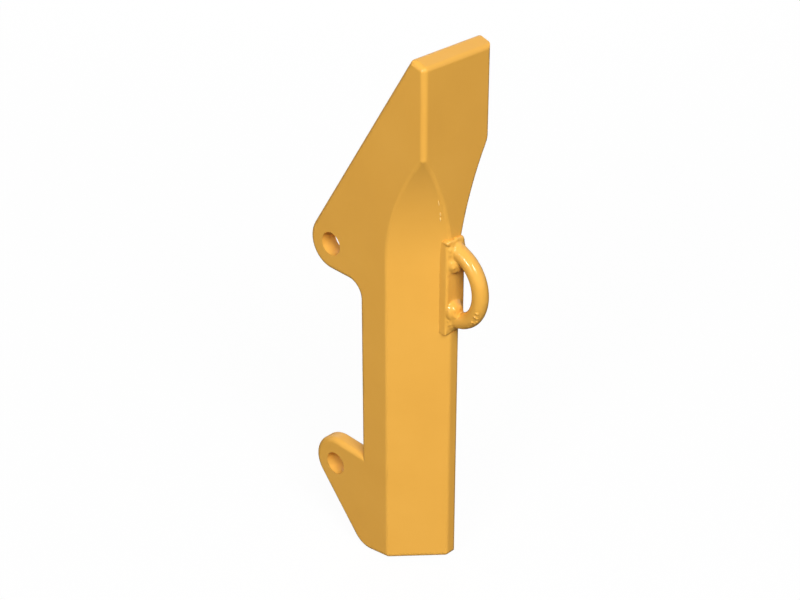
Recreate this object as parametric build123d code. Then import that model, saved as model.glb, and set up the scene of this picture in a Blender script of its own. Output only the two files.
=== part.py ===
from build123d import *
from math import cos, hypot, radians, sin, sqrt, tan
import os

# Bucket side bar protector: a cast wear part that covers the front edge of a bucket's side
# plate. A flange with two bolt ears lies along the outside, and a lifting eye is welded to
# the front. Millimetres. While it is drawn, X runs across from the flange's outer face, Y
# goes back from the front wear face and Z goes up from the upper bolt hole. The origin then
# moves to that hole, on the face of the flange that lies against the bucket.

# Flange and its two bolt ears
FLANGE_THICK = 20.0
FLANGE_BACK = 92.5
HOLE_DIA = 27.0
HOLE_BACK = 134.5
HOLE_SPACING = 281.5
EAR_RADIUS = 32.0
UPPER_EAR_DIP = 3.7
UPPER_EAR_FILLET = 18.5
LOWER_EAR_DIP = 4.5
LOWER_EAR_SLOPE = 50.7
LOWER_CORNER_RADIUS = 28.5

# Sloped ends, as angles from horizontal or from the front face's heights
UPPER_SLOPE = 57.2
TOP_FRONT_Z = 232.5
TOP_RISE = 19.7
BOTTOM_FRONT_Z = -368.5
BOTTOM_FALL = 6.6

# Front block: a narrow bar below that widens into a wing above
BLOCK_DEPTH = 62.0
BAR_WIDTH = 59.5
WING_WIDTH = 100.0
WING_ARC_RADIUS = 336.0
WING_ARC_CENTRE = (389.6, -39.7)
WING_BOTTOM_BLEND = 110.0
WING_TOP_BLEND = 20.0
SEAT_FILLET = 8.0

# Slanted face on the outer front edge, and the hollow that ends it below the wing
SLANT_BACK = 53.0
SLANT_ACROSS = 43.5
HOLLOW_RADIUS = 288.0
HOLLOW_START_Z = 4.2

EDGE_RADIUS = 6.0
SEAT_EDGE_RADIUS = 4.5

# Lifting eye: a plate let into the front corner with a bent round bar welded to it
PLATE_LEFT = 35.7
PLATE_RIGHT = 64.2
PLATE_FRONT = -1.0
PLATE_BACK = 10.7
PLATE_TOP = 33.0
PLATE_BOTTOM = -76.2
PLATE_EDGE_RADIUS = 2.8
EYE_BAR_RADIUS = 9.0
EYE_ACROSS = 50.0
EYE_TOP_Z = 22.4
EYE_TOP_SLOPE = 27.5
EYE_TOP_LEG = 11.2
EYE_BIG_RADIUS = 44.8
EYE_BIG_SWEEP = 87.0
EYE_SMALL_RADIUS = 32.7

# Welds: a collar around each end of the bar, metal built up inside the loop at each end,
# and a bead along the plate's top
COLLAR_WELD = 3.0
BUILD_UP_RADIUS = 11.0
BUILD_UP_TOP_RADIUS = 5.5
BUILD_UP_HEIGHT = 7.5
BUILD_UP_ACROSS = 49.0
UPPER_BUILD_UP_Z = 7.5
LOWER_BUILD_UP_Z = -47.7
TOP_BEAD_RADIUS = 3.0
TOP_BEAD_LEFT = 38.0
TOP_BEAD_RIGHT = 59.0

# Drawing allowance: how far a cutting shape runs beyond what it cuts
BEYOND = 40.0

UPPER_HOLE = (HOLE_BACK, 0.0)
LOWER_HOLE = (HOLE_BACK, -HOLE_SPACING)
ABOVE_TOP = TOP_FRONT_Z + BEYOND
BELOW_BOTTOM = BOTTOM_FRONT_Z - BEYOND


def edge_line(point, clearance, facing):
    """A straight edge facing the given angle, at a clearance from a point: its normal and offset."""
    normal = (cos(radians(facing)), sin(radians(facing)))
    return normal, normal[0] * point[0] + normal[1] * point[1] + clearance


def crossing(first, second):
    """The point where two straight edges cross."""
    (a, b), c = first
    (d, e), f = second
    scale = a * e - b * d
    return (c * e - b * f) / scale, (a * f - c * d) / scale


def rounded_at(face, point, radius):
    """A flat face with the corner nearest a point rounded."""
    corner = face.vertices().sort_by_distance(Vector(*point))[0]
    return fillet(corner, radius)


def side_outline():
    """The whole part seen from the side, as a face in Y and Z."""
    front = edge_line((0, 0), 0, 180)
    back = edge_line((FLANGE_BACK, 0), 0, 0)
    top = edge_line((0, TOP_FRONT_Z), 0, 90 + TOP_RISE)
    bottom = edge_line((0, BOTTOM_FRONT_Z), 0, -90 - BOTTOM_FALL)
    upper_slope = edge_line(UPPER_HOLE, EAR_RADIUS, 90 - UPPER_SLOPE)
    upper_underside = edge_line(UPPER_HOLE, EAR_RADIUS, UPPER_EAR_DIP - 90)
    lower_top = edge_line(LOWER_HOLE, EAR_RADIUS, 90 + LOWER_EAR_DIP)
    lower_slope = edge_line(LOWER_HOLE, EAR_RADIUS, LOWER_EAR_SLOPE - 90)

    upper_ear = crossing(upper_slope, upper_underside)
    upper_neck = crossing(upper_underside, back)
    lower_neck = crossing(back, lower_top)
    lower_ear = crossing(lower_top, lower_slope)
    lower_corner = crossing(lower_slope, bottom)
    corners = [
        crossing(front, bottom),
        crossing(front, top),
        crossing(top, upper_slope),
        upper_ear,
        upper_neck,
        lower_neck,
        lower_ear,
        lower_corner,
    ]
    face = make_face(Polyline(*corners, close=True))
    face = rounded_at(face, upper_ear, EAR_RADIUS)
    face = rounded_at(face, upper_neck, UPPER_EAR_FILLET)
    face = rounded_at(face, lower_ear, EAR_RADIUS)
    return rounded_at(face, lower_corner, LOWER_CORNER_RADIUS)


def wing_arc_point(across):
    """The point on the wing's curved side at a distance across the front."""
    centre_x, centre_z = WING_ARC_CENTRE
    return across, centre_z + sqrt(WING_ARC_RADIUS**2 - (centre_x - across) ** 2)


def front_outline():
    """The bar and the wing seen from the front, as a face in X and Z that runs past both ends."""
    arc_bottom = wing_arc_point(BAR_WIDTH)
    arc_middle = wing_arc_point((BAR_WIDTH + WING_WIDTH) / 2)
    arc_top = wing_arc_point(WING_WIDTH)
    bar = Polyline((0, ABOVE_TOP), (0, BELOW_BOTTOM), (BAR_WIDTH, BELOW_BOTTOM), arc_bottom)
    wing = Polyline(arc_top, (WING_WIDTH, ABOVE_TOP), (0, ABOVE_TOP))
    face = make_face(bar + ThreePointArc(arc_bottom, arc_middle, arc_top) + wing)
    face = rounded_at(face, arc_top, WING_TOP_BLEND)
    return rounded_at(face, arc_bottom, WING_BOTTOM_BLEND)


def slant_cutter():
    """What the slanted face and the hollow above it take off the outer front edge."""
    slope_length = hypot(SLANT_BACK, SLANT_ACROSS)
    inward = Vector(SLANT_BACK / slope_length, SLANT_ACROSS / slope_length, 0)
    along = Vector(inward.Y, -inward.X, 0)
    depth = SLANT_BACK * SLANT_ACROSS / slope_length
    hollow_centre = depth - HOLLOW_RADIUS

    def hollow_point(height):
        return hollow_centre + sqrt(HOLLOW_RADIUS**2 - height**2), HOLLOW_START_Z + height

    reach = sqrt(HOLLOW_RADIUS**2 - (hollow_centre + BEYOND) ** 2)
    arc_end = hollow_point(reach)
    arc = ThreePointArc((depth, HOLLOW_START_Z), hollow_point(reach / 2), arc_end)
    rest = Polyline(
        arc_end,
        (-BEYOND, BELOW_BOTTOM),
        (depth, BELOW_BOTTOM),
        (depth, HOLLOW_START_Z),
    )
    section = Plane(origin=(0, 0, 0), x_dir=inward, z_dir=along) * make_face(arc + rest)
    return extrude(section, amount=slope_length + BEYOND, both=True)


def lies_on(edge, axis, position):
    """Whether an edge lies in the plane at a position along an axis."""
    box = edge.bounding_box()
    ends = {"x": (box.min.X, box.max.X), "y": (box.min.Y, box.max.Y)}[axis]
    return all(abs(end - position) < 0.001 for end in ends)


def round_edges(body):
    """The casting's rounded edges: the outer ones full size and those against the bucket smaller."""
    inner_corner = [
        edge for edge in body.edges() if lies_on(edge, "x", FLANGE_THICK) and lies_on(edge, "y", BLOCK_DEPTH)
    ]
    body = fillet(inner_corner, SEAT_FILLET)
    edges = body.edges()
    outer = [edge for edge in edges if lies_on(edge, "x", 0) or lies_on(edge, "y", 0)]
    slant_end = edges.sort_by_distance(Vector(SLANT_ACROSS / 2, SLANT_BACK / 2, BOTTOM_FRONT_Z))[0]
    top_back = edges.filter_by(Axis.X).sort_by(Axis.Z)[-1]
    body = fillet(outer + [slant_end, top_back], EDGE_RADIUS)
    against_bucket = [
        edge
        for edge in body.edges()
        if lies_on(edge, "x", FLANGE_THICK) or lies_on(edge, "y", BLOCK_DEPTH)
    ]
    return fillet(against_bucket, SEAT_EDGE_RADIUS)


def bolt_hole(centre):
    """A cutter for one bolt hole through the flange."""
    back, height = centre
    return Pos(FLANGE_THICK / 2, back, height) * Rot(0, 90, 0) * Cylinder(HOLE_DIA / 2, FLANGE_THICK + BEYOND)


def plate_block(left, right, front):
    """A block as tall and as deep as the eye's plate, between the given sides and front."""
    size = (right - left, PLATE_BACK - front, PLATE_TOP - PLATE_BOTTOM)
    return Pos(left, front, PLATE_BOTTOM) * Box(*size, align=(Align.MIN, Align.MIN, Align.MIN))


def protector_body():
    """The casting: flange, ears, bar and wing in one piece."""
    side = Plane.YZ * side_outline()
    block = extrude(Plane.XZ * front_outline(), amount=-BLOCK_DEPTH) & extrude(side, amount=WING_WIDTH)
    body = extrude(side, amount=FLANGE_THICK) + block - slant_cutter()
    body = round_edges(body)
    body -= bolt_hole(UPPER_HOLE)
    body -= bolt_hole(LOWER_HOLE)
    return body - plate_block(PLATE_LEFT, WING_WIDTH, -BEYOND)


def eye_plate():
    """The seat plate of the lifting eye, with its front edges rounded."""
    plate = plate_block(PLATE_LEFT, PLATE_RIGHT, PLATE_FRONT)
    front_edges = plate.faces().sort_by(Axis.Y)[0].edges()
    return fillet(front_edges, PLATE_EDGE_RADIUS)


def eye_path():
    """The middle line of the bent bar, run on behind the plate's face at both ends."""
    heading = Vector(-cos(radians(EYE_TOP_SLOPE)), -sin(radians(EYE_TOP_SLOPE)))
    root = Vector(PLATE_FRONT, EYE_TOP_Z)
    slope = Line(root - heading * BEYOND, root + heading * EYE_TOP_LEG)
    big = JernArc(slope @ 1, slope % 1, EYE_BIG_RADIUS, EYE_BIG_SWEEP)
    small = JernArc(big @ 1, big % 1, EYE_SMALL_RADIUS, 180 - EYE_TOP_SLOPE - EYE_BIG_SWEEP)
    leg = Line(small @ 1, Vector(PLATE_FRONT + BEYOND, (small @ 1).Y))
    return Plane((EYE_ACROSS, 0, 0), x_dir=(0, 1, 0), z_dir=(1, 0, 0)) * (slope + big + small + leg)


def eye_ring():
    """The bent round bar, with both ends flush on the plate's front face."""
    path = eye_path()
    bar = sweep(Plane(origin=path @ 0, z_dir=path % 0) * Circle(EYE_BAR_RADIUS), path=path)
    behind_face = Pos(EYE_ACROSS, PLATE_FRONT, 0) * Box(
        WING_WIDTH, WING_WIDTH, ABOVE_TOP, align=(Align.CENTER, Align.MIN, Align.CENTER)
    )
    return bar - behind_face


def weld_collar(height, slope):
    """A sloped weld around an end of the bar that meets the plate at a height and a slope."""
    tall = EYE_BAR_RADIUS / cos(radians(slope))
    shift = COLLAR_WELD * tan(radians(slope))
    foot = Plane((EYE_ACROSS, PLATE_FRONT, height), x_dir=(1, 0, 0), z_dir=(0, -1, 0))
    tip = Plane((EYE_ACROSS, PLATE_FRONT - COLLAR_WELD, height - shift), x_dir=(1, 0, 0), z_dir=(0, -1, 0))
    outline = Ellipse(EYE_BAR_RADIUS + COLLAR_WELD, tall + COLLAR_WELD)
    return loft([foot * outline, tip * Ellipse(EYE_BAR_RADIUS, tall)], ruled=True)


def build_up(height):
    """A low mound of weld metal on the plate inside the loop, at a height."""
    upright = (Align.CENTER, Align.CENTER, Align.MIN)
    mound = Cone(BUILD_UP_RADIUS, BUILD_UP_TOP_RADIUS, BUILD_UP_HEIGHT, align=upright)
    return Pos(BUILD_UP_ACROSS, PLATE_FRONT, height) * Rot(90, 0, 0) * mound


def top_bead():
    """The bead along the plate's top edge."""
    length = TOP_BEAD_RIGHT - TOP_BEAD_LEFT
    bead = Cylinder(TOP_BEAD_RADIUS, length, align=(Align.CENTER, Align.CENTER, Align.MIN))
    return Pos(TOP_BEAD_LEFT, 0, PLATE_TOP) * Rot(0, 90, 0) * bead


def eye_welds():
    """All the weld metal around the eye, not yet trimmed to the plate and the casting."""
    lower_height = (eye_path() @ 1).Z
    collars = weld_collar(EYE_TOP_Z, EYE_TOP_SLOPE) + weld_collar(lower_height, 0)
    return collars + build_up(UPPER_BUILD_UP_Z) + build_up(LOWER_BUILD_UP_Z) + top_bead()


def place(shape):
    """A finished piece moved so that the origin is the upper bolt hole on the flange's inner face."""
    return Pos(-FLANGE_THICK, -HOLE_BACK, 0) * shape


if __name__ == "__main__":
    os.makedirs("parts", exist_ok=True)
    body, plate = protector_body(), eye_plate()
    nodes = {
        "protector_body": body,
        "lifting_eye_plate": plate,
        "lifting_eye_ring": eye_ring() + eye_welds() - plate - body,
    }
    for name, shape in nodes.items():
        export_step(place(shape), f"parts/{name}.step")
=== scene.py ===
import math
import random

import bpy
from mathutils import Matrix, Vector


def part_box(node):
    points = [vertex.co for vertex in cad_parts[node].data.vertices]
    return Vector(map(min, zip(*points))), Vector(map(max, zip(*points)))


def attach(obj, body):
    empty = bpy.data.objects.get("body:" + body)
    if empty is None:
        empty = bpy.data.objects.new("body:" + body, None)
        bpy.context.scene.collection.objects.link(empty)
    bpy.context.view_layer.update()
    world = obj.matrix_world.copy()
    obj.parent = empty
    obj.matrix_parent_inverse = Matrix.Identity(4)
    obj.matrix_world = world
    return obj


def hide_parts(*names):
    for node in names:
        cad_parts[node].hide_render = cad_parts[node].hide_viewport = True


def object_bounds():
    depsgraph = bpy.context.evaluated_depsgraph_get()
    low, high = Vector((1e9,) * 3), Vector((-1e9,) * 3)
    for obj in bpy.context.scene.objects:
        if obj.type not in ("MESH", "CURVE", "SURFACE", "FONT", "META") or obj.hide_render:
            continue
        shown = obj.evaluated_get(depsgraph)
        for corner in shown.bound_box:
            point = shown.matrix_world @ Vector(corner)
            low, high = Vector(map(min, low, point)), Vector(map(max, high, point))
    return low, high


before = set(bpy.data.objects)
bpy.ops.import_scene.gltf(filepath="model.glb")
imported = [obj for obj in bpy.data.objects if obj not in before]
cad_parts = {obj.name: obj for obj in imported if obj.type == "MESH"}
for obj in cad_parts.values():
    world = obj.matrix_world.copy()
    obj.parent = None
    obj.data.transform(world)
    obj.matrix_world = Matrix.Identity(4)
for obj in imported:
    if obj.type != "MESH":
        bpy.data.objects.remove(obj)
CAD_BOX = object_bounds()
PART_MIDDLE = (Vector(CAD_BOX[0]) + Vector(CAD_BOX[1])) / 2

# Camera: its place and farthest sight in metres, in the part's own frame, its direction in degrees,
# and its lens and sensor in millimetres
CAMERA_PLACE = (-1.1671, -1.1907, 0.8228)
CAMERA_AZIMUTH = -46.5
CAMERA_ELEVATION = 28.35
CAMERA_LENS = 77.4
SENSOR_WIDTH = 36.0
FARTHEST_SEEN = 50.0

# Lamps: azimuth, elevation, metres away, metres across and watts. The soft ones are a key to the left,
# a key in front and a weaker lamp behind the part. The small ones are only seen as glints.
SOFT_LAMPS = {
    "left_key": (-72.0, 28.0, 9.0, 2.6, 370.0),
    "front_key": (-31.0, 41.0, 9.0, 4.4, 800.0),
    "back_lamp": (134.5, 12.0, 4.0, 2.4, 90.0),
}
GLINT_LAMPS = {
    "left_glint": (-81.0, 26.0, 4.0, 0.3, 90.0),
    "front_glint": (-23.0, 41.0, 4.0, 0.3, 48.0),
}

# Surroundings: faint light from all round, and a floor that sends little light back. To the camera the
# floor is pale, and most of it glows, which keeps it white.
WORLD_LIGHT = 0.04
FLOOR_COLOUR = (0.9, 0.9, 0.9)
FLOOR_BOUNCE = (0.10, 0.10, 0.10)
FLOOR_GLOW = 0.955
FLOOR_SIZE = 30.0
FLOOR_GAP = 0.0005

# Paint: one satin coat over cast steel. Its colours are linear, from deep to light.
PAINT = ((0.785, 0.398, 0.063), (0.80, 0.410, 0.066), (0.815, 0.422, 0.070))
# The paint runs' lighter yellow is a painted highlight, standing in for the glints on them.
PAINTED_GLINT_SHADES = ((0.96, 0.62, 0.19), (0.98, 0.64, 0.20), (0.99, 0.66, 0.21))
PAINT_SHINE = 0.35
ROUGHNESS_SPREAD = 0.04

# Patterns in the paint: cells a metre, detail and roughness of each noise, and the range that a noise
# usually keeps to
MOTTLING = (14.0, 4.0, 0.55)
GLOSS_PATCHES = (45.0, 4.0, 0.55)
CASTING_SWELL = (22.0, 1.0, 0.4)
ORANGE_PEEL = (520.0, 2.0, 0.5)
NOISE_RANGE = (0.3, 0.7)

# Finishes: colours, depth of the orange peel, depth of the casting's swell, and roughness
CASTING_FINISH = (PAINT, 0.00003, 0.00040, 0.34)
PLATE_FINISH = (PAINT, 0.00002, 0.00015, 0.32)
EYE_FINISH = (PAINT, 0.00002, 0.00006, 0.19)
# The paint runs' finish uses that lighter yellow, a painted highlight.
PAINTED_GLINT_FINISH = (PAINTED_GLINT_SHADES, 0.00002, 0.00005, 0.20)

# Lifting eye: the bent bar, and the height of its two roots, where it meets the plate's face
PLATE_LOW, PLATE_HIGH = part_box("lifting_eye_plate")
RING_LOW, RING_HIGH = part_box("lifting_eye_ring")
PLATE_FACE = PLATE_LOW[1]
EYE_ACROSS = (RING_LOW[0] + RING_HIGH[0]) / 2
BAR_RADIUS = 0.009
COLLAR_WIDTH = 0.003
LOWER_BEND_RADIUS = 0.0327
UPPER_ROOT_Z = PLATE_HIGH[2] - 0.0106
LOWER_ROOT_Z = RING_LOW[2] + COLLAR_WIDTH + BAR_RADIUS

# Weld drops: the seed of their uneven sizes and places, and how far a size goes under and over
WELD_SEED = 7
DROP_SIZES = (0.9, 1.1)

# Roots: a ring of drops around each. The height of each root, and how tall its ring is for its width,
# which is more where the bar leaves at a slope.
ROOT_DROPS = 15
ROOT_REACH = 0.0102
ROOT_LUMP = 0.0030
ROOTS = ((UPPER_ROOT_Z, 1.13), (LOWER_ROOT_Z, 1.0))

# Bead along the plate's top edge, set a little inside the plate's face and top, and the nub over the
# plate's corner at its left end
BEAD_START = PLATE_LOW[0] + 0.0018
BEAD_DROPS = 8
BEAD_PITCH = 0.0030
BEAD_LUMP = 0.0029
BEAD_INSET = 0.0006
BEAD_WANDER = 0.0003
NUB_PLACE = (PLATE_LOW[0] + 0.0024, PLATE_FACE + 0.0036, PLATE_HIGH[2] + 0.0003)
NUB_SIZE = (0.0032, 0.0048, 0.0024)

# Mounds inside the loop: place across, height and size of each. The drops on a mound lie within a range
# of shares of its width, sunk a little into it.
MOUNDS = (
    (EYE_ACROSS - 0.0015, PLATE_HIGH[2] - 0.0265, (0.0110, 0.0070, 0.0115)),
    (EYE_ACROSS - 0.0038, PLATE_LOW[2] + 0.0272, (0.0105, 0.0085, 0.0122)),
)
MOUND_DROPS = 6
MOUND_LUMP = 0.0024
MOUND_SHARES = (0.2, 0.75)
MOUND_SINK = 0.0012

# Spatter on the lower bend: degrees along the bend and around the bar, and radius
SPATTER_COUNT = 12
SPATTER_ALONG = (52, 77)
SPATTER_AROUND = (16, 62)
SPATTER_SIZES = (0.0011, 0.0017)

# Plate corner at the top right that the weld melted away: a point on the cut, and the way it faces
MELTED_CORNER = (PLATE_HIGH[0] - 0.0052, PLATE_FACE, PLATE_HIGH[2])
MELTED_NORMAL = (0.62, 0.0, 0.78)

# Running the eye together: the welds flow more than the rest, out to a depth from the plate's face. The
# plate's side edges keep their shape below the bead, and so does its face in the middle of the loop.
MERGE_DISTANCE = 0.000002
VOXEL = 0.0006
SMOOTH_FACTOR = 0.5
WELD_PASSES = 50
BAR_PASSES = 4
WELD_DEPTH = 0.0095
WELD_FADE = 0.0040
LOOP_TOP = UPPER_ROOT_Z - 0.0304
LOOP_BOTTOM = LOWER_ROOT_Z + 0.0252
EDGE_KEPT = 0.0014
BEAD_REACH = 0.003

# Roughness left in the metal: size of its cells and depth
WELD_RIPPLE = (0.0035, 0.00055)
BAR_SCALE = (0.006, 0.00022)

# Drops of paint that ran down beside the hollow's right edge: the top and the bottom of each
PAINT_RUNS = (
    ((0.0060, -0.1312, 0.0838), (0.0075, -0.1306, 0.0785)),
    ((0.0101, -0.1301, 0.0688), (0.0108, -0.1298, 0.0655)),
    ((0.0112, -0.1292, 0.0626), (0.0119, -0.1290, 0.0588)),
)
RUN_HALF_WIDTH = 0.0007


def turned_to(azimuth, elevation):
    """The turn of a camera or lamp at an azimuth and an elevation, and its backward direction."""
    turn = math.radians(azimuth)
    rise = math.radians(elevation)
    backward = Vector(
        (math.sin(turn) * math.cos(rise), -math.cos(turn) * math.cos(rise), math.sin(rise))
    )
    right = Vector((math.cos(turn), math.sin(turn), 0.0))
    up = backward.cross(right)
    return Matrix((right, up, backward)).transposed().to_4x4(), backward


def add_camera():
    """The camera at the photograph's angle, with no roll and no shift."""
    data = bpy.data.cameras.new("studio_camera")
    data.lens = CAMERA_LENS
    data.sensor_width = SENSOR_WIDTH
    data.clip_end = FARTHEST_SEEN
    camera = bpy.data.objects.new("studio_camera", data)
    bpy.context.collection.objects.link(camera)
    turned, _ = turned_to(CAMERA_AZIMUTH, CAMERA_ELEVATION)
    camera.matrix_world = Matrix.Translation(CAMERA_PLACE) @ turned
    bpy.context.scene.camera = camera


def add_softbox(name, azimuth, elevation, distance, size, watts):
    """A square soft lamp aimed at the middle of the part."""
    data = bpy.data.lights.new(name, "AREA")
    data.shape = "SQUARE"
    data.size = size
    data.energy = watts
    lamp = bpy.data.objects.new(name, data)
    bpy.context.collection.objects.link(lamp)
    turned, backward = turned_to(azimuth, elevation)
    lamp.matrix_world = Matrix.Translation(PART_MIDDLE + backward * distance) @ turned
    return lamp


def add_lamps():
    """The soft lamps, left out of reflections, and the glint lamps, seen in reflections alone."""
    for name, values in SOFT_LAMPS.items():
        add_softbox(name, *values).visible_glossy = False
    for name, values in GLINT_LAMPS.items():
        add_softbox(name, *values).visible_diffuse = False


def either(nodes, links, first, second):
    """One where either of two ray tests is one."""
    most = nodes.new("ShaderNodeMath")
    most.operation = "MAXIMUM"
    links.new(first, most.inputs[0])
    links.new(second, most.inputs[1])
    return most.outputs[0]


def mixed(nodes, links, share, first, second):
    """Two shaders mixed by a share, which is a socket or a number."""
    mix = nodes.new("ShaderNodeMixShader")
    if isinstance(share, float):
        mix.inputs["Fac"].default_value = share
    else:
        links.new(share, mix.inputs["Fac"])
    links.new(first, mix.inputs[1])
    links.new(second, mix.inputs[2])
    return mix.outputs[0]


def white_light(nodes, strength):
    """A white background at a strength."""
    background = nodes.new("ShaderNodeBackground")
    background.inputs["Color"].default_value = (1.0, 1.0, 1.0, 1.0)
    background.inputs["Strength"].default_value = strength
    return background.outputs[0]


def matte(nodes, colour):
    """A plain diffuse shader."""
    shader = nodes.new("ShaderNodeBsdfDiffuse")
    shader.inputs["Color"].default_value = (*colour, 1.0)
    return shader.outputs[0]


def add_world():
    """Faint even light all round, seen as plain white by the camera and in reflections."""
    world = bpy.data.worlds.new("studio")
    bpy.context.scene.world = world
    world.use_nodes = True
    nodes, links = world.node_tree.nodes, world.node_tree.links
    nodes.clear()
    rays = nodes.new("ShaderNodeLightPath").outputs
    seen = either(nodes, links, rays["Is Camera Ray"], rays["Is Glossy Ray"])
    seen = either(nodes, links, seen, rays["Is Transmission Ray"])
    surround = mixed(nodes, links, seen, white_light(nodes, WORLD_LIGHT), white_light(nodes, 1.0))
    out = nodes.new("ShaderNodeOutputWorld")
    links.new(surround, out.inputs["Surface"])


def add_floor():
    """A plain floor just under the part: pale to the camera, and dim in the light it sends back."""
    height = CAD_BOX[0][2] - FLOOR_GAP
    bpy.ops.mesh.primitive_plane_add(size=FLOOR_SIZE, location=(PART_MIDDLE.x, PART_MIDDLE.y, height))
    floor = bpy.context.object
    floor.name = "studio_floor"
    material = bpy.data.materials.new("pale_floor")
    material.use_nodes = True
    nodes, links = material.node_tree.nodes, material.node_tree.links
    nodes.clear()
    rays = nodes.new("ShaderNodeLightPath").outputs
    glow = nodes.new("ShaderNodeEmission")
    glow.inputs["Strength"].default_value = 1.0
    pale = mixed(nodes, links, FLOOR_GLOW, matte(nodes, FLOOR_COLOUR), glow.outputs[0])
    surface = mixed(nodes, links, rays["Is Camera Ray"], matte(nodes, FLOOR_BOUNCE), pale)
    out = nodes.new("ShaderNodeOutputMaterial")
    links.new(surface, out.inputs["Surface"])
    floor.data.materials.append(material)


def noise(nodes, links, place, scale, detail, roughness):
    """A noise texture on a place, at a scale in cells a metre."""
    texture = nodes.new("ShaderNodeTexNoise")
    texture.inputs["Scale"].default_value = scale
    texture.inputs["Detail"].default_value = detail
    texture.inputs["Roughness"].default_value = roughness
    links.new(place, texture.inputs["Vector"])
    return texture.outputs["Fac"]


def spread(nodes, links, value, to_low, to_high):
    """A noise value stretched from its usual range to a new one."""
    step = nodes.new("ShaderNodeMapRange")
    step.inputs["From Min"].default_value, step.inputs["From Max"].default_value = NOISE_RANGE
    step.inputs["To Min"].default_value = to_low
    step.inputs["To Max"].default_value = to_high
    links.new(value, step.inputs["Value"])
    return step.outputs["Result"]


def shaded(nodes, links, value, shades):
    """A colour that goes from the deep shade through the usual one to the light one with a noise value."""
    ramp = nodes.new("ShaderNodeValToRGB")
    stops = ramp.color_ramp.elements
    deep, usual, light = shades
    stops[0].position, stops[1].position = NOISE_RANGE
    stops[0].color = (*deep, 1.0)
    stops[1].color = (*light, 1.0)
    stops.new(sum(NOISE_RANGE) / 2).color = (*usual, 1.0)
    links.new(value, ramp.inputs["Fac"])
    return ramp.outputs["Color"]


def bump(nodes, links, height, distance, normal=None):
    """A bump of a height in metres, over another bump if one is given."""
    node = nodes.new("ShaderNodeBump")
    node.inputs["Strength"].default_value = 1.0
    node.inputs["Distance"].default_value = distance
    links.new(height, node.inputs["Height"])
    if normal is not None:
        links.new(normal, node.inputs["Normal"])
    return node.outputs["Normal"]


def satin_paint(name, shades, peel, swell, roughness):
    """Yellow paint over cast steel: faint mottling, orange peel and the slow swell of the casting."""
    material = bpy.data.materials.new(name)
    material.use_nodes = True
    nodes, links = material.node_tree.nodes, material.node_tree.links
    nodes.clear()
    place = nodes.new("ShaderNodeTexCoord").outputs["Object"]
    shader = nodes.new("ShaderNodeBsdfPrincipled")
    shader.inputs["Specular IOR Level"].default_value = PAINT_SHINE
    out = nodes.new("ShaderNodeOutputMaterial")
    links.new(shader.outputs[0], out.inputs["Surface"])

    mottled = shaded(nodes, links, noise(nodes, links, place, *MOTTLING), shades)
    links.new(mottled, shader.inputs["Base Color"])

    patches = noise(nodes, links, place, *GLOSS_PATCHES)
    satin = spread(nodes, links, patches, roughness - ROUGHNESS_SPREAD, roughness + ROUGHNESS_SPREAD)
    links.new(satin, shader.inputs["Roughness"])

    slow = bump(nodes, links, noise(nodes, links, place, *CASTING_SWELL), swell)
    fine = bump(nodes, links, noise(nodes, links, place, *ORANGE_PEEL), peel, slow)
    links.new(fine, shader.inputs["Normal"])
    return material


def dress(piece, material):
    """A piece or a CAD node given its finished material."""
    piece.data.materials.clear()
    piece.data.materials.append(material)


def select_only(pieces):
    """Only the given pieces selected, with the first one active."""
    bpy.ops.object.select_all(action="DESELECT")
    for piece in pieces:
        piece.select_set(True)
    bpy.context.view_layer.objects.active = pieces[0]


def joined(pieces, name):
    """Several pieces made into one, with its place in its mesh."""
    select_only(pieces)
    bpy.ops.object.join()
    piece = bpy.context.object
    bpy.ops.object.transform_apply(location=True, rotation=True, scale=True)
    piece.name = name
    piece.data.name = name
    return piece


def lump(place, size, turn=(0.0, 0.0, 0.0)):
    """An egg-shaped drop of weld metal or paint at a place."""
    bpy.ops.mesh.primitive_ico_sphere_add(subdivisions=3, radius=1.0, location=place, rotation=turn)
    drop = bpy.context.object
    drop.scale = size
    return drop


def weld_drop(chance, place, size):
    """A round drop of weld metal at a place, a little over or under its size."""
    grown = size * chance.uniform(*DROP_SIZES)
    return lump(place, (grown, grown, grown))


def root_weld(chance, height, tall):
    """Overlapping drops in a ring where one end of the bar meets the plate."""
    drops = []
    for step in range(ROOT_DROPS):
        turn = 2 * math.pi * step / ROOT_DROPS
        place = (
            EYE_ACROSS + ROOT_REACH * math.cos(turn),
            PLATE_FACE,
            height + ROOT_REACH * tall * math.sin(turn),
        )
        drops.append(weld_drop(chance, place, ROOT_LUMP))
    return drops


def top_weld(chance):
    """The bead of drops along the plate's top edge, with a nub over the plate's corner."""
    drops = [lump(NUB_PLACE, NUB_SIZE)]
    for step in range(BEAD_DROPS):
        place = (
            BEAD_START + BEAD_PITCH * step,
            PLATE_FACE + BEAD_INSET,
            PLATE_HIGH[2] - BEAD_INSET + chance.uniform(-BEAD_WANDER, BEAD_WANDER),
        )
        drops.append(weld_drop(chance, place, BEAD_LUMP))
    return drops


def mound(chance, across, height, size):
    """Weld metal built up on the plate inside the loop, as a dome with smaller drops on it."""
    drops = [lump((across, PLATE_FACE, height), size)]
    wide, deep, tall = size
    for _ in range(MOUND_DROPS):
        turn = chance.uniform(0, 2 * math.pi)
        out = chance.uniform(*MOUND_SHARES)
        place = (
            across + out * wide * math.cos(turn),
            PLATE_FACE - deep * math.sqrt(1 - out * out) + MOUND_SINK,
            height + out * tall * math.sin(turn),
        )
        drops.append(weld_drop(chance, place, MOUND_LUMP))
    return drops


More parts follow.
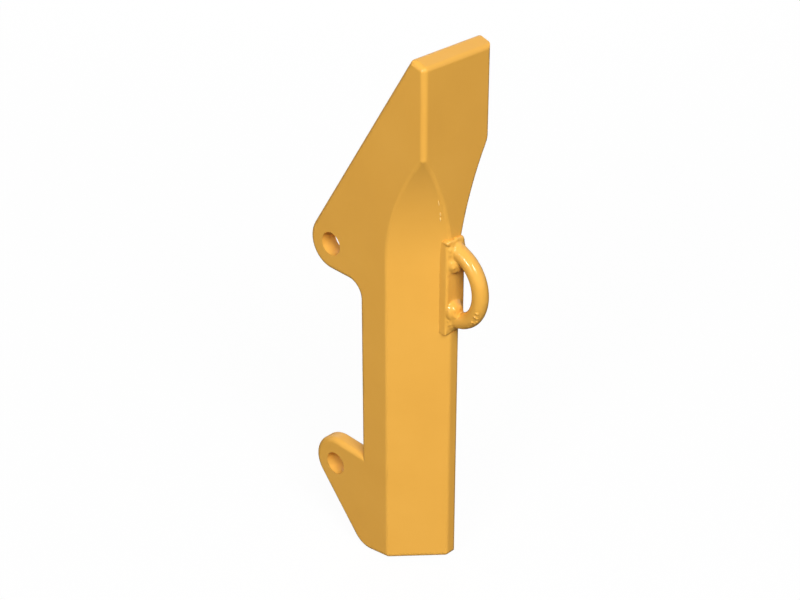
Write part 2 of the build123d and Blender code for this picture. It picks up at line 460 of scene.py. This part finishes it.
def spatter(chance):
    """Small hardened drops on the outer side of the bar's lower bend."""
    bend_middle = Vector((EYE_ACROSS, PLATE_FACE, LOWER_ROOT_Z + LOWER_BEND_RADIUS))
    leftward = Vector((-1.0, 0.0, 0.0))
    drops = []
    for _ in range(SPATTER_COUNT):
        along = math.radians(chance.uniform(*SPATTER_ALONG))
        around = math.radians(chance.uniform(*SPATTER_AROUND))
        outward = Vector((0.0, -math.sin(along), -math.cos(along)))
        normal = outward * math.cos(around) + leftward * math.sin(around)
        place = bend_middle + outward * LOWER_BEND_RADIUS + normal * BAR_RADIUS
        size = chance.uniform(*SPATTER_SIZES)
        drops.append(lump(place, (size, size, size)))
    return drops


def weld_metal():
    """Every drop of weld metal on the lifting eye."""
    chance = random.Random(WELD_SEED)
    drops = []
    for root in ROOTS:
        drops += root_weld(chance, *root)
    drops += top_weld(chance)
    for built_up in MOUNDS:
        drops += mound(chance, *built_up)
    return drops + spatter(chance)


def copied_node(node, name):
    """A separate copy of a CAD node's mesh, with its loose triangles joined up."""
    piece = bpy.data.objects[node].copy()
    piece.data = piece.data.copy()
    piece.name = name
    bpy.context.collection.objects.link(piece)
    select_only([piece])
    bpy.ops.object.mode_set(mode="EDIT")
    bpy.ops.mesh.select_all(action="SELECT")
    bpy.ops.mesh.remove_doubles(threshold=MERGE_DISTANCE)
    bpy.ops.object.mode_set(mode="OBJECT")
    return piece


def melted_plate():
    """A copy of the seat plate whose top right corner the weld has melted away."""
    plate = copied_node("lifting_eye_plate", "seat_plate")
    bpy.ops.object.mode_set(mode="EDIT")
    bpy.ops.mesh.select_all(action="SELECT")
    bpy.ops.mesh.bisect(plane_co=MELTED_CORNER, plane_no=MELTED_NORMAL, use_fill=True, clear_outer=True)
    bpy.ops.object.mode_set(mode="OBJECT")
    return plate


def apply_modifier(piece, kind, **settings):
    """A modifier added with its settings and applied."""
    modifier = piece.modifiers.new(kind.lower(), kind)
    for setting, value in settings.items():
        setattr(modifier, setting, value)
    select_only([piece])
    bpy.ops.object.modifier_apply(modifier=modifier.name)


def roughen(piece, name, cell, depth, **settings):
    """A piece's surface raised and sunk by clouds with cells of a size and a depth in metres."""
    texture = bpy.data.textures.new(name, "CLOUDS")
    texture.noise_scale = cell
    apply_modifier(piece, "DISPLACE", texture=texture, texture_coords="LOCAL", strength=depth, **settings)


def weld_share(place):
    """How much of a point is weld metal: one near the plate's face, fading out along the bar."""
    in_open_loop = LOOP_BOTTOM < place.z < LOOP_TOP
    at_side_edge = not PLATE_LOW[0] + EDGE_KEPT < place.x < PLATE_HIGH[0] - EDGE_KEPT
    under_bead = place.z < PLATE_HIGH[2] - BEAD_REACH
    if in_open_loop or (at_side_edge and under_bead):
        return 0.0
    return min(1.0, max(0.0, (place.y - PLATE_FACE + WELD_DEPTH + WELD_FADE) / WELD_FADE))


def mark_welds(piece):
    """A group of the piece's points that are weld metal, each by its share."""
    group = piece.vertex_groups.new(name="welds")
    for vertex in piece.data.vertices:
        share = weld_share(vertex.co)
        if share > 0:
            group.add([vertex.index], share, "REPLACE")


def add_lifting_eye():
    """The bent bar, its seat plate and the weld metal as one run of metal, smooth where it flowed."""
    drops = weld_metal()
    bar = copied_node("lifting_eye_ring", "bent_bar")
    eye = joined([bar, melted_plate()] + drops, "welded_lifting_eye")
    apply_modifier(eye, "REMESH", mode="VOXEL", voxel_size=VOXEL)
    mark_welds(eye)
    apply_modifier(eye, "SMOOTH", factor=SMOOTH_FACTOR, iterations=WELD_PASSES, vertex_group="welds")
    apply_modifier(eye, "SMOOTH", factor=SMOOTH_FACTOR, iterations=BAR_PASSES)
    roughen(eye, "weld_ripple", *WELD_RIPPLE, vertex_group="welds")
    roughen(eye, "bar_scale", *BAR_SCALE)
    bpy.ops.object.shade_smooth()
    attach(eye, "root")
    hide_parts("lifting_eye_ring", "lifting_eye_plate")
    return eye


def add_paint_runs():
    """The three long thin drops beside the hollow's edge, which catch real light and also carry a painted
    highlight in their lighter paint.
    """
    drops = []
    for top, bottom in PAINT_RUNS:
        run = Vector(bottom) - Vector(top)
        middle = (Vector(top) + Vector(bottom)) / 2
        turn = run.to_track_quat("Z", "Y").to_euler()
        size = (RUN_HALF_WIDTH, RUN_HALF_WIDTH, run.length / 2 + RUN_HALF_WIDTH)
        drops.append(lump(middle, size, turn))
    runs = joined(drops, "paint_runs")
    bpy.ops.object.shade_smooth()
    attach(runs, "root")
    return runs


bpy.ops.object.select_all(action="DESELECT")
bpy.context.scene.view_settings.view_transform = "Standard"
add_camera()
add_world()
add_floor()
add_lamps()

casting_paint = satin_paint("yellow_paint_on_casting", *CASTING_FINISH)
plate_paint = satin_paint("yellow_paint_on_plate", *PLATE_FINISH)
eye_paint = satin_paint("yellow_paint_on_eye", *EYE_FINISH)
# The paint runs' material, whose lighter yellow is a painted highlight.
paint_with_painted_glint = satin_paint("paint_with_painted_glint", *PAINTED_GLINT_FINISH)
dress(bpy.data.objects["protector_body"], casting_paint)
dress(bpy.data.objects["lifting_eye_plate"], plate_paint)
dress(bpy.data.objects["lifting_eye_ring"], eye_paint)
dress(add_lifting_eye(), eye_paint)
dress(add_paint_runs(), paint_with_painted_glint)
